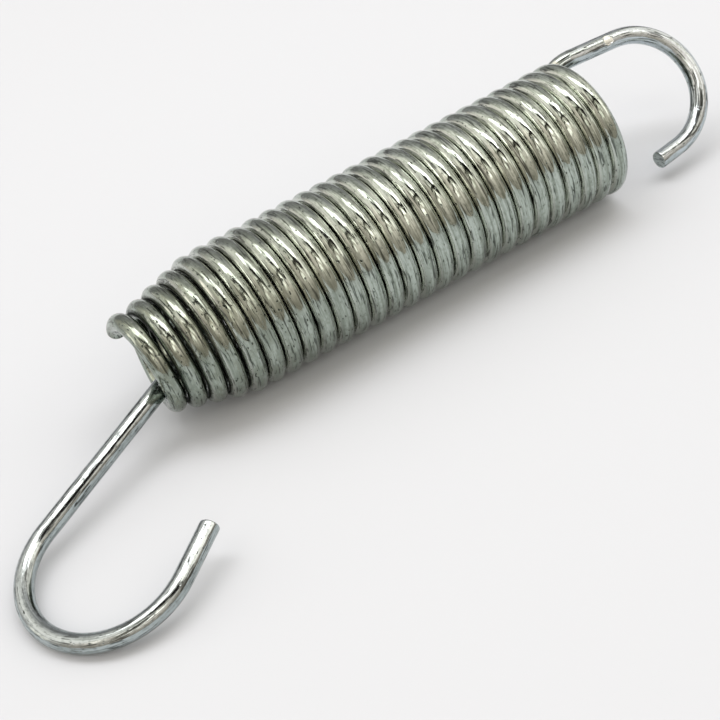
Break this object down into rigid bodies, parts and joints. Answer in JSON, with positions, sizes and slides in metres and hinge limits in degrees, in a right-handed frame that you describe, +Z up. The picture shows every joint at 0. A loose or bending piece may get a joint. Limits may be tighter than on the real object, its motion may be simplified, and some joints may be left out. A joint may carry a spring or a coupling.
{
  "type": "extension spring with swivel hook",
  "caption": "Close-wound extension spring with one hook bent from its own wire and, at the tapered end, a loose long-necked hook that swivels.",
  "frame": {"origin": "centre of the round seat of the fixed hook, which lies on the coil's axis", "axes": "+X along the coil's axis toward the fixed hook, +Z up, with the spring lying on its side; the fixed hook's plane holds the X axis and slants 48 degrees up from +Y"},
  "size_m": [0.1413, 0.051, 0.0242],
  "materials": {
    "coil_wire": "bright zinc-plated spring wire with fine drawing streaks and small pits",
    "hook_wire": "bright zinc-plated wire, smoother than the coil"
  },
  "bodies": {
    "spring": {"coil": "coil_wire"},
    "hook": {"swivel_hook": "hook_wire"}
  },
  "joints": [
    {"name": "hook_swivel", "type": "hinge", "parent": "spring", "child": "hook", "pos_m": [-0.08271, 0.00209, -0.00107], "axis": [-0.9137, -0.3661, -0.1766], "continuous": true}
  ]
}
